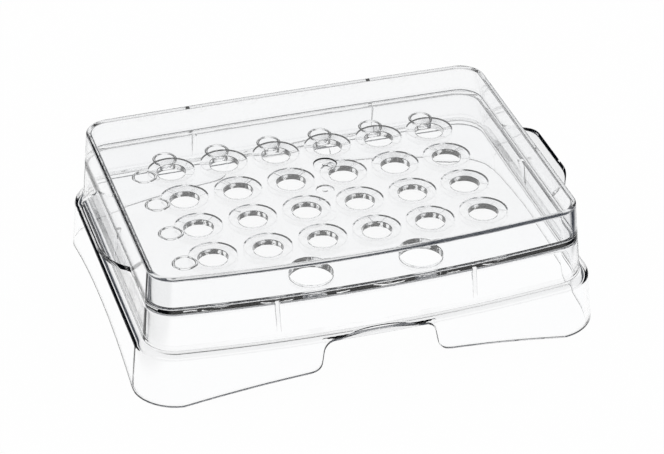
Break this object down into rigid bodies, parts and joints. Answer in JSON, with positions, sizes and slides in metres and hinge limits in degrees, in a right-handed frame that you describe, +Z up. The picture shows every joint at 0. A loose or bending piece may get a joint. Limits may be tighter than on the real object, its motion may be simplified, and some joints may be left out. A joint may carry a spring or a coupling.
{
  "type": "microcentrifuge tube rack with lid",
  "caption": "Clear moulded rack with a grid of round dished tube holes, a stepped skirt on arched corner feet, end finger tabs and a shallow lift-off lid.",
  "frame": {"origin": "on the surface the rack stands on, under the middle of its footprint", "axes": "+X along the rows of tube holes, with the index spots at -X; -Y is the bowed front; +Z up"},
  "size_m": [0.175, 0.1302, 0.0484],
  "materials": {
    "rack": "clear polished polycarbonate",
    "lid": "clear polished polycarbonate"
  },
  "bodies": {
    "root": {"rack": "rack", "lid": "lid"}
  },
  "joints": []
}
